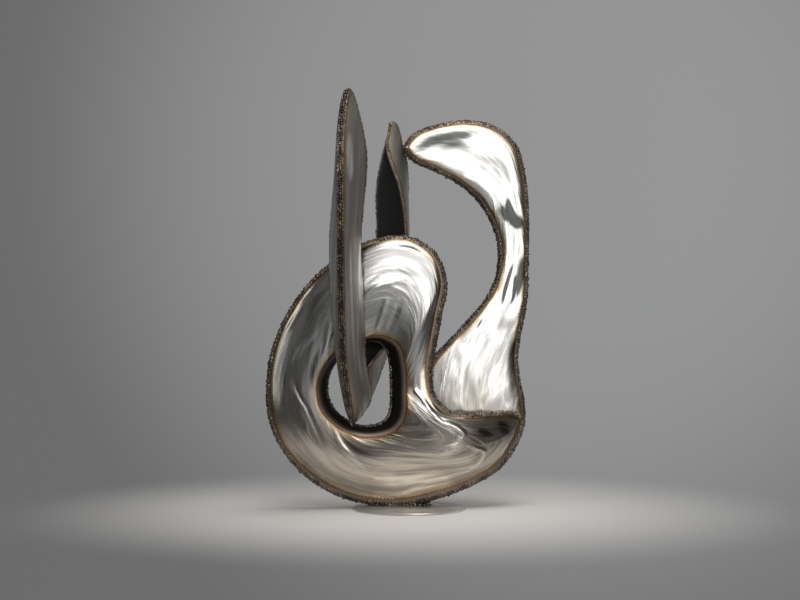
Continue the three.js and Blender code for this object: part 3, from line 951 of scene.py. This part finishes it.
@dataclass
class PiercedBody:
    """Kidney-shaped ring with a pillowed front and back, a crusty rim and a leaning hole wall.

    Attributes:
        rim_inset: the rim strip's width, how much wider it is at the right, and narrower above.
        hole_lean: the wall's lean, how much more it is at the right, less above, and more at both sides.
        hole_back: share of the lean that is left at the back's edge of the hole.
        foot_back: set-back of the foot, of the tail and of the left: how far, from where, over what.
        flow_radius: radius in metres of the circle that the strokes' places run round.
        bead_room: how far the skin stays inside the outline, for the beads.
        scorch: how fast the heat colours fade beside the hole, compared with the rim.
    """

    node: str = "pierced_body"
    columns: int = 672
    front_rows: int = 66
    back_rows: int = 34
    rim_rows: int = 8
    wall_rows: int = 10
    rim_half: float = 13 * MM
    hole_half: float = 17 * MM
    front_pillow: float = 10 * MM
    back_pillow: float = 5 * MM
    tail_rib: float = 12
    tail_reach: float = 5.5
    tail_bend: tuple[float, float] = (13 * MM, -38 * MM)
    rim_inset: Point = (9.5, 1.5, 3.5)
    hole_lean: Point = (15.75, 4.5, 4, 3.75)
    hole_back: float = 0.2
    foot_back: Point = (22, 180, 177)
    tail_back: Point = (60, 30, 140)
    left_back: Point = (12, 120, 90)
    flow_radius: float = 0.13
    seat: float = 3.3 * MM
    bead_room: float = 1.5 * MM
    scorch: float = 0.7
    turn: Array = field(init=False)

    def __post_init__(self) -> None:
        """Works out the columns' places round the ring."""
        self.turn = np.arange(self.columns) / self.columns

    def depth(self, x: Array, z: Array) -> Array:
        """Middle of the sheet in Y: squares of how far a point lies below, right and left."""
        (foot_by, below, foot_over), (tail_by, right_of, tail_over) = self.foot_back, self.tail_back
        left_by, left_of, left_over = self.left_back
        foot = set_back(foot_by, below * MM - z, foot_over)
        tail = set_back(tail_by, x - right_of * MM, tail_over)
        return foot + tail + set_back(left_by, -left_of * MM - x, left_over)

    def place(self, flat: Array, offset: Array | float) -> Array:
        """A point of the outline's plane moved to its depth, kept above the base plate."""
        x, z = flat[..., 0], np.maximum(flat[..., 1], self.seat)
        return np.stack([x, self.depth(x, z) + offset + 0 * x, z], axis=-1)

    def rim(self, share: float) -> Array:
        """A line round the rim strip: the outline moved in by a share of the strip's width."""
        out = outward(BODY_OUTLINE, self.turn)
        mean, right, above = self.rim_inset
        inset = (mean + right * out[:, :1] - above * out[:, 1:]) * MM
        room = self.bead_room * (1 - share)
        return smooth_curve(BODY_OUTLINE, self.turn, True) - out * (inset * share + room)

    def wall(self, share: float) -> Array:
        """A line round the hole: its narrowest line moved out by a share of the wall's lean."""
        out = outward(HOLE_OUTLINE, self.turn)
        x, z = out[:, :1], out[:, 1:]
        mean, right, above, sides = self.hole_lean
        lean = (mean + right * x - above * z + sides * (x * x - z * z)) * MM
        return smooth_curve(HOLE_OUTLINE, self.turn, True) + out * lean * share

    def hole_depth(self) -> Array:
        """Half the thickness beside the hole: the rim's own, and more where the face is wide."""
        width = np.linalg.norm(self.rim(1.0) - self.wall(1.0), axis=1)
        return self.rim_half + (self.hole_half - self.rim_half) * fullness(width)

    def face(self, share: float, hole_share: float, side: int) -> Array:
        """One row of a face: a line from rim to hole, bent into the tail, raised like a pillow."""
        edge, end = self.rim(1.0), self.wall(hole_share)
        most = self.front_pillow if side < 0 else self.back_pillow
        rise = most * fullness(np.linalg.norm(edge - end, axis=1)) * dome(share)
        half = self.rim_half + (self.hole_depth() - self.rim_half) * share
        reach = bump((self.turn * len(BODY_OUTLINE) - self.tail_rib) / self.tail_reach) * dome(share)
        bend = reach[:, None] * np.array(self.tail_bend)
        return self.place(edge + (end - edge) * share + bend, side * (half + rise))

    def skin(self) -> Skin:
        """The whole closed skin, from the outline over the front, through the hole and back.

        Down the wall, the lean falls as 1 minus the distance to the power 0.8, and the depth rises
        from the front's half thickness by one and a half times the distance to the power 1.2.
        """
        insets, halves = rim_profile(self.rim_rows)
        rows = [self.place(self.rim(i), -h * self.rim_half) for i, h in zip(insets, halves)]
        front = np.linspace(0, 1, self.front_rows)
        rows += [self.face(share, 1.0, -1) for share in front]
        lean = np.linspace(0, 1, self.wall_rows + 1)[1:]
        half = self.hole_depth()
        rows += [self.place(self.wall(1 - s ** 0.8), (-1 + 1.5 * s ** 1.2) * half) for s in lean]
        rows += [self.face(share, self.hole_back, 1) for share in np.linspace(1, 0, self.back_rows)]
        rows += [self.place(self.rim(i), h * self.rim_half) for i, h in zip(insets[::-1], halves[::-1])]
        points = np.stack(rows)
        seam = self.seam_distance(points)
        face = self.zones(len(points))[0]
        raised_edges(points, face, face.start)
        tone = swept(points, face, fade(seam, 0.0, SHEET_MARKS_START), BODY_SWEEPS)
        return Skin(points, self.flow(points), seam, tone, wrap=True)

    def zones(self, rows: int) -> tuple[slice, slice]:
        """Which rows are the front face and which are the back face."""
        first = self.rim_rows
        back = rows - self.rim_rows - self.back_rows
        return slice(first, first + self.front_rows), slice(back, back + self.back_rows)

    def flow(self, points: Array) -> Array:
        """Stroke places: a circle round the hole, so that the strokes have no start, and across."""
        angle = self.turn * 2 * math.pi
        across = np.cumsum(np.linalg.norm(np.diff(points, axis=0, prepend=points[:1]), axis=2), axis=0)
        circle = self.flow_radius * np.stack([np.cos(angle), np.sin(angle)], axis=1)
        return np.concatenate([np.broadcast_to(circle, (*points.shape[:2], 2)), across[..., None]], axis=2)

    def seam_distance(self, points: Array) -> Array:
        """Millimetres from the nearest weld, below 0 on the rim strip and on the hole's wall."""
        front, back = self.zones(len(points))
        rims = np.vstack([points[front][0], points[back][-1]])[::2]
        holes = np.vstack([points[front][-1], points[back][0]])[::2]
        from_rim, from_hole = nearest(points, rims) / MM, nearest(points, holes) / MM
        seam = np.minimum(from_rim, from_hole * self.scorch)
        seam[:front.start] = -from_rim[:front.start] * RIM_SHARE
        seam[back.stop:] = -from_rim[back.stop:] * RIM_SHARE
        # the hole's wall counts as past its weld, so its deeper part turns to painted black shade
        seam[front.stop:back.start] = -from_hole[front.stop:back.start]
        return seam

    def hole_seams(self) -> list[Seam]:
        """The weld lines on the hole's narrowest line and beside it."""
        inward = -outward(HOLE_OUTLINE, self.turn)
        out = np.stack([inward[:, 0], 0 * inward[:, 0], inward[:, 1]], axis=1)
        across = np.broadcast_to([0.0, 1.0, 0.0], out.shape)
        return [Seam(self.place(self.wall(0.0), 0.5 * self.hole_half), out, across, True)]

    def make(self, sheet: BrushedSheet, weld: bpy.types.Material) -> None:
        """Builds and dresses the skin and its beads."""
        dress(self.skin().build("body_skin"), sheet.material(), Slot.SHEET, [self.node])
        crust = crust_seams(self, outward(BODY_OUTLINE, self.turn), 8)
        outer = WeldBeads("body_rim_weld", radius=0.0025, spacing=0.0043, seed=11).build(crust, self.node)
        dress(outer, weld, Slot.WELD, [])
        rows = ((0.0, 0.0), (-0.0006, 0.0032), (-0.0012, -0.0045))
        inner = WeldBeads("body_hole_weld", radius=0.0016, spacing=0.0030, rows=rows, seed=12)
        dress(inner.build(self.hole_seams(), self.node), weld, Slot.WELD, [])


@dataclass
class HookBand:
    """Tall band with rounded ends, each face rising from its rim to the middle line.

    Attributes:
        end_share: how far the middle line runs on towards each end.
        bead_room: how far the skin stays inside the outline, for the beads.
        set_back: depth of the band's middle at middle_x.
        middle_x: where the band lies at that depth.
        turned: how much further back it lies for each metre to the right.
    """

    node: str = "hook_band"
    columns_per_rib: int = 20
    front_rows: int = 34
    back_rows: int = 18
    rim_rows: int = 8
    rim_half: float = 11 * MM
    rim_inset: float = 7.5 * MM
    front_pillow: float = 5 * MM
    back_pillow: float = 4 * MM
    end_share: float = 0.4
    bead_room: float = 1.4 * MM
    set_back: float = 60 * MM
    middle_x: float = 80 * MM
    turned: float = 0.12
    turn: Array = field(init=False)
    outline: tuple[Point, ...] = field(init=False)
    spine: tuple[Point, ...] = field(init=False)

    def __post_init__(self) -> None:
        """Lays the outline and the middle line out from the pairs of edge points."""
        outer = tuple(pair[0] for pair in BAND_EDGES)
        inner = tuple(pair[1] for pair in BAND_EDGES)
        middle = tuple(tuple((a + b) / 2 for a, b in zip(*pair)) for pair in BAND_EDGES)
        tip, foot = (
            tuple(near + self.end_share * (far - near) for near, far in zip(close, end))
            for close, end in ((middle[0], BAND_TIP), (middle[-1], BAND_FOOT))
        )
        self.outline = (BAND_TIP, *outer, BAND_FOOT, *inner[::-1])
        self.spine = (tip, *middle, foot, *middle[::-1])
        count = len(self.outline) * self.columns_per_rib
        self.turn = np.arange(count) / count

    def place(self, flat: Array, offset: Array | float) -> Array:
        """A point of the outline's plane moved to its depth: a flat sheet turned to the right."""
        x, z = flat[..., 0], flat[..., 1]
        return np.stack([x, self.set_back + self.turned * (x - self.middle_x) + offset, z], axis=-1)

    def rim(self, share: float) -> Array:
        """A line round the rim strip: the outline moved in by a share of the strip's width."""
        room = self.bead_room * (1 - share)
        inward = outward(self.outline, self.turn) * (self.rim_inset * share + room)
        return smooth_curve(self.outline, self.turn, True) - inward

    def face(self, share: float, side: int) -> Array:
        """One row of a face, between the rim strip's inner edge and the middle line."""
        edge, end = self.rim(1.0), smooth_curve(self.spine, self.turn, True)
        most = self.front_pillow if side < 0 else self.back_pillow
        rise = most * fullness(2 * np.linalg.norm(edge - end, axis=1)) * (1 - (1 - share) ** 3)
        return self.place(edge + (end - edge) * share, side * (self.rim_half + rise))

    def skin(self) -> Skin:
        """The closed skin, from the front's middle line over the rim to the back's."""
        insets, halves = rim_profile(self.rim_rows)
        rows = [self.face(share, -1) for share in np.linspace(1, 0, self.front_rows)]
        rows += [self.place(self.rim(i), -h * self.rim_half) for i, h in zip(insets[::-1], halves[::-1])]
        rows += [self.place(self.rim(i), h * self.rim_half) for i, h in zip(insets, halves)]
        rows += [self.face(share, 1) for share in np.linspace(0, 1, self.back_rows)]
        points = np.stack(rows)
        seam = self.seam_distance(points)
        face = slice(0, self.front_rows)
        raised_edges(points, face, self.front_rows - 1)
        tone = swept(points, face, fade(seam, 0.0, SHEET_MARKS_START), BAND_SWEEPS)
        return Skin(points, self.flow(points), seam, tone, fold=True)

    def flow(self, points: Array) -> Array:
        """Stroke places: along the middle line, and across it, the inner half counted below 0."""
        spine = smooth_curve(self.spine, self.turn, True)
        half = len(spine) // 2
        there = travelled(spine[:half + 1])
        along = np.concatenate([there, there[1:half][::-1]])
        side = np.where(np.arange(len(spine)) <= half, 1.0, -1.0)
        away = np.linalg.norm(points[..., [0, 2]] - spine, axis=2) * side
        flat = np.broadcast_to(along, away.shape)
        return np.stack([flat, 0 * flat, away], axis=2)

    def seam_distance(self, points: Array) -> Array:
        """Millimetres from the nearest weld, below 0 on the rim strip."""
        first, last = self.front_rows - 1, self.front_rows + 2 * self.rim_rows
        seam = nearest(points, np.vstack([points[first], points[last]])[::2]) / MM
        seam[first + 1:last] *= -RIM_SHARE
        return seam

    def make(self, sheet: BrushedSheet, weld: bpy.types.Material) -> None:
        """Builds and dresses the skin and its beads."""
        dress(self.skin().build("band_skin"), sheet.material(), Slot.SHEET, [self.node])
        crust = crust_seams(self, outward(self.outline, self.turn), 7)
        beads = WeldBeads("band_rim_weld", radius=0.0022, spacing=0.0041, seed=21).build(crust, self.node)
        dress(beads, weld, Slot.WELD, [])


@dataclass
class Horn:
    """Wedge whose corners run along curves in space and meet in a point at both ends.

    Attributes:
        node: the solid that it stands for.
        top: the upper point.
        foot: the lower point.
        corners: the edges' points from the top down, in order round the section.
        bulges: how far each side swells, from its corner to the next, in metres.
        strip: half width of the flat strip on the first edge, or 0 for a sharp edge.
        strip_taper: the strip narrows over one part in this many of its length at each end.
        plain: numbers of the sides coloured as past a weld: a narrow strip stays dark scorch, a wide side
            turns to painted black shade.
        black: how far past a weld a plain side's colour starts, in millimetres of seam distance.
        sweeps: marks on the sides seen from the front, each with a painted highlight.
    """

    node: str
    top: Point
    foot: Point
    corners: tuple[tuple[Point, ...], ...]
    bulges: tuple[float, ...]
    strip: float = 0.0
    strip_taper: float = 9
    plain: tuple[int, ...] = ()
    steps: int = 260
    side_steps: int = 22
    corner_cut: float = 2 * MM
    black: float = 7.0
    sweeps: tuple[Sweep, ...] = ()
    seed: int = 31

    def edges(self) -> list[Array]:
        """Each corner's line from the top to the foot."""
        step = np.arange(1, self.steps)
        share = 0.5 - 0.5 * np.cos(math.pi * step / self.steps)
        lines = [smooth_curve((self.top, *points, self.foot), share, False) for points in self.corners]
        if self.strip:
            width = self.strip * np.minimum(1, self.strip_taper * np.minimum(share, 1 - share))
            aside = np.stack([width, 0 * width, 0 * width], axis=1)
            lines = [lines[0] - aside, lines[0] + aside, *lines[1:]]
        return lines

    def skin(self) -> Skin:
        """Rows of sections: each side runs from a cut corner to the next and swells like a parabola."""
        lines = self.edges()
        centre = sum(lines) / len(lines)
        points, across, seam = [], [], []
        girth = np.zeros(len(centre))
        for number, start in enumerate(lines):
            end = lines[(number + 1) % len(lines)]
            length = np.linalg.norm(end - start, axis=1)
            cut = np.minimum(self.corner_cut / length, HORN_CUT_LIMIT)
            direction = unit(end - start)
            out = unit(np.stack([direction[:, 1], -direction[:, 0], 0 * length], axis=1))
            facing = np.sign(np.einsum("ij,ij->i", out, (start + end) / 2 - centre))
            out = out * facing[:, None]
            bulge = self.bulges[number]
            swell = np.minimum(abs(bulge), HORN_SWELL_LIMIT * length) * np.sign(bulge)
            for part in np.linspace(0, 1, self.side_steps):
                along = cut + (1 - 2 * cut) * part
                points.append(start + (end - start) * along[:, None] + out * (swell * dome(along))[:, None])
                across.append(girth + along * length)
                near = np.minimum(part, 1 - part) * length / MM + 0.01
                # a plain side counts as deep past a weld: dark scorch on a narrow strip, painted black shade
                # on a wide side
                seam.append(-near - self.black if number in self.plain else near)
            girth = girth + length
        grid = np.stack(points, axis=1)
        along = np.broadcast_to(travelled(centre)[:, None], grid.shape[:2])
        flow = np.stack([along, 0 * along, np.stack(across, axis=1)], axis=2)
        caps = (np.array([self.top]) * MM, np.array([self.foot]) * MM)
        distance = np.stack(seam, axis=1)
        tone = swept(grid, slice(0, len(grid)), fade(distance, 0.0, HORN_MARKS_START), self.sweeps)
        return Skin(grid, flow, distance, tone, caps=caps)

    def seams(self) -> list[Seam]:
        """The weld lines along the corners, all pointing away from the wedge's middle."""
        lines = self.edges()
        centre = sum(lines) / len(lines)
        found = []
        for line in lines[(1 if self.strip else 0):]:
            run = unit(np.gradient(line, axis=0))
            out = line - centre
            out = unit(out - run * np.einsum("ij,ij->i", out, run)[:, None])
            found.append(Seam(line, out, np.cross(run, out)))
        if self.strip:
            run = unit(np.gradient(lines[0], axis=0))
            across = np.broadcast_to([1.0, 0.0, 0.0], run.shape)
            out = unit(np.cross(across, run))
            found[:1] = [Seam(line, out, across) for line in (lines[0], (lines[0] + lines[1]) / 2, lines[1])]
        return found

    def make(self, sheet: BrushedSheet, weld: bpy.types.Material) -> None:
        """Builds and dresses the skin and its beads."""
        dress(self.skin().build(f"{self.node}_skin"), sheet.material(), Slot.SHEET, [self.node])
        seams = self.seams()
        name = f"{self.node}_weld"
        rows = ((0.0, 0.0),)
        if self.strip:
            strip = WeldBeads(f"{name}_strip", 0.0015, 0.0026, rows, -0.3, self.seed)
            dress(strip.build(seams[:3], self.node), weld, Slot.WELD, [])
            seams = seams[3:]
        beads = WeldBeads(name, 0.0013, 0.0027, rows, -0.9, self.seed + 1).build(seams, self.node)
        dress(beads, weld, Slot.WELD, [])


@dataclass
class BaseDisc:
    """Round plate with softened edges and the weld lumps that hold the body on it."""

    node: str = "base_disc"
    columns: int = 160
    rows_across: int = 24
    softness: float = 0.6 * MM
    foot_middle: Point = (-0.014, 0.022)
    foot_size: Point = (0.043, 0.0075)
    foot_height: float = 0.0035

    def skin(self) -> Skin:
        """A profile turned round Z: underside, rounded edge and top, closed by two middle points."""
        low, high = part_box(self.node)
        radius, thickness = high[0], high[2] - low[2]
        flat = np.linspace(0.02, 1.0, self.rows_across) * (radius - self.softness)
        edge = np.linspace(-math.pi / 2, math.pi / 2, 9)
        middle = thickness / 2
        bulge = middle - self.softness
        edge_r = radius - self.softness + self.softness * np.cos(edge)
        corner_side = np.sign(np.sin(edge)) * (np.abs(np.sin(edge)) > 0.01)
        edge_z = middle + bulge * corner_side + self.softness * np.sin(edge)
        r = np.concatenate([flat, edge_r, flat[::-1]])
        z = np.concatenate([0 * flat, edge_z, 0 * flat + thickness])
        turn = np.linspace(0, 2 * math.pi, self.columns, endpoint=False)
        level = z[:, None] * np.ones(self.columns)
        points = np.stack([r[:, None] * np.cos(turn), r[:, None] * np.sin(turn), level], axis=-1)
        caps = (np.zeros((1, 3)), np.array([[0.0, 0.0, thickness]]))
        plain = np.zeros(points.shape[:2])
        return Skin(points, points, plain + 50.0, plain, caps=caps)

    def make(self, plate: PlateSteel, weld: bpy.types.Material) -> None:
        """Builds and dresses the plate and the lumps round the body's foot."""
        dress(self.skin().build("plate_skin"), plate.material(), Slot.BASE, [self.node])
        turn = np.linspace(0, 2 * math.pi, 200, endpoint=False)
        (x, y), (wide, deep) = self.foot_middle, self.foot_size
        height = self.foot_height + 0 * turn
        line = np.stack([x + wide * np.cos(turn), y + deep * np.sin(turn), height], axis=1)
        out = np.broadcast_to([0.0, 0.0, 1.0], line.shape)
        across = unit(np.stack([np.cos(turn), 5 * np.sin(turn), 0 * turn], axis=1))
        rows = ((0.0, 0.0), (0.0015, -0.002), (0.0, 0.0025))
        ring = Seam(line, out, across, True)
        lumps = WeldBeads("foot_weld", 0.0026, 0.0042, rows, 0.1, seed=41).build([ring], "pierced_body")
        dress(lumps, weld, Slot.WELD, [])


# ------------------------------------------------------------------ studio

@dataclass
class Softbox:
    """A square-cornered area light: where it stands, what it looks at, its size and its brightness."""

    name: str
    place: Point
    target: Point
    size: tuple[float, float]
    brightness: float

    def make(self) -> None:
        """Adds the light; its power is its brightness times its area times pi."""
        lamp = bpy.data.lights.new(self.name, "AREA")
        lamp.shape = "RECTANGLE"
        lamp.size, lamp.size_y = self.size
        lamp.energy = self.brightness * self.size[0] * self.size[1] * math.pi
        holder = bpy.data.objects.new(self.name, lamp)
        holder.location = self.place
        aim_at(holder, self.target)
        bpy.context.collection.objects.link(holder)


def aim_at(holder: bpy.types.Object, target: Point) -> None:
    """Turns a light or camera to look at a point, its top up."""
    toward = unit(np.subtract(target, tuple(holder.location)))
    pitch = math.acos(float(np.clip(-toward[2], -1, 1)))
    heading = math.atan2(-float(toward[0]), float(toward[1]))
    holder.rotation_euler = (pitch, 0.0, heading)


@dataclass
class Studio:
    """Plain pale floor, soft light from the front right, a grey room and the camera."""

    distance: float = 2.600
    eye_height: float = 0.3057
    aside: float = -0.0139
    lens: float = 80.0
    floor_radius: float = 3.0
    floor_drop: float = -0.0002
    pool: Point = (0.0696, 0.9945, 0.0785)

    def camera(self) -> None:
        """A level camera at the height of the sculpture's middle."""
        data = bpy.data.cameras.new("camera")
        data.lens = self.lens
        holder = bpy.data.objects.new("camera", data)
        holder.location = (self.aside, -self.distance, self.eye_height)
        holder.rotation_euler = (math.pi / 2, 0.0, 0.0)
        bpy.context.collection.objects.link(holder)
        bpy.context.scene.camera = holder

    def floor(self) -> None:
        """A disc of floor under the sculpture: rings of points out from the middle."""
        turn = np.linspace(0, 2 * math.pi, 96, endpoint=False)
        radius = np.linspace(0.01, 1, 30) ** 2 * self.floor_radius
        away = radius[:, None]
        level = self.floor_drop + 0 * away * turn
        points = np.stack([away * np.cos(turn), away * np.sin(turn), level], axis=-1)
        number = np.arange(points[..., 0].size).reshape(points.shape[:2])
        quads = np.stack(
            [number[:-1], number[1:], np.roll(number[1:], -1, 1), np.roll(number[:-1], -1, 1)], -1
        ).reshape(-1, 4)
        ground = mesh_object("floor", points.reshape(-1, 3), quads)
        ground.data.materials.append(FloorPaint().material())

    def room(self) -> None:
        """World light: a wall behind with a pool of light on it, and a dark room in front."""
        bpy.context.scene.world = bpy.data.worlds.new("room")
        g = Graph(bpy.context.scene.world, "ShaderNodeOutputWorld")
        way = g.node("ShaderNodeTexCoord", {}, {}, "Generated")
        x, y, _ = (g.node("ShaderNodeSeparateXYZ", {}, {0: way}, axis) for axis in range(3))
        near = g.node("ShaderNodeVectorMath", {"operation": "DOT_PRODUCT"}, {0: way, 1: self.pool}, "Value")
        wall = 0.15 + 0.05 * x.rise(-0.25, 0.5) + 0.13 * near.rise(0.956, 0.998)
        front = 0.055 + 0.25 * x.rise(-0.16, 0.04) - 0.245 * x.rise(0.2, 0.75)
        back = y.rise(-0.1, 0.4)
        strength = wall * back + front * (1.0 - back)
        g.close(g.node("ShaderNodeBackground", {}, {"Color": (0.985, 0.99, 1.0, 1.0), "Strength": strength}))

    def lights(self) -> None:
        """A large softbox at the front right, one over the camera, one overhead, a strip at the left."""
        Softbox("key", (0.99, -2.06, 1.05), (0.03, 0.0, 0.30), (1.45, 2.1), 1.8).make()
        Softbox("brow", (0.09, -1.77, 1.20), (0.0, 0.0, 0.30), (0.72, 1.4), 2.0).make()
        Softbox("top", (0.2, -0.2, 2.3), (0.0, 0.0, 0.0), (1.4, 1.2), 5.0).make()
        Softbox("window", (-1.65, -1.25, 0.60), (0.0, 0.0, 0.30), (0.35, 1.3), 0.9).make()

    def make(self) -> None:
        """Builds the whole studio."""
        bpy.context.scene.view_settings.view_transform = "Standard"
        self.camera()
        self.floor()
        self.room()
        self.lights()


# ------------------------------------------------------------------ the sculpture

def corner(value: Iterable[float]) -> list[float]:
    """A box corner as a plain list of numbers."""
    return [float(part) for part in value]


def main() -> None:
    """Builds the studio and every piece."""
    logging.basicConfig(level=logging.INFO, format="%(name)s: %(message)s")
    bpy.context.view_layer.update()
    Studio().make()
    weld = WeldMetal().material()
    BaseDisc().make(PlateSteel(), weld)
    PiercedBody().make(BrushedSheet("body_steel"), weld)
    HookBand().make(BrushedSheet("band_steel", seed=3.1), weld)
    front = Horn(
        "front_horn", FRONT_TOP, FRONT_FOOT, (FRONT_LEADING, FRONT_RIGHT, FRONT_LEFT),
        (0.0, 3 * MM, -2 * MM, 3 * MM), strip=3.4 * MM, plain=(0, 2), sweeps=FRONT_HORN_SWEEPS, seed=31,
    )
    front.make(HornSheet("front_horn_steel", seed=5.7), weld)
    rear = Horn(
        "rear_horn", REAR_TOP, REAR_FOOT, (REAR_LEFT, REAR_RIDGE, REAR_BACK),
        (-1.5 * MM, 3 * MM, 3 * MM), plain=(0,), seed=35,
    )
    rear.make(HornSheet("rear_horn_steel", seed=8.3), weld)


if __name__ == "__main__":
    main()
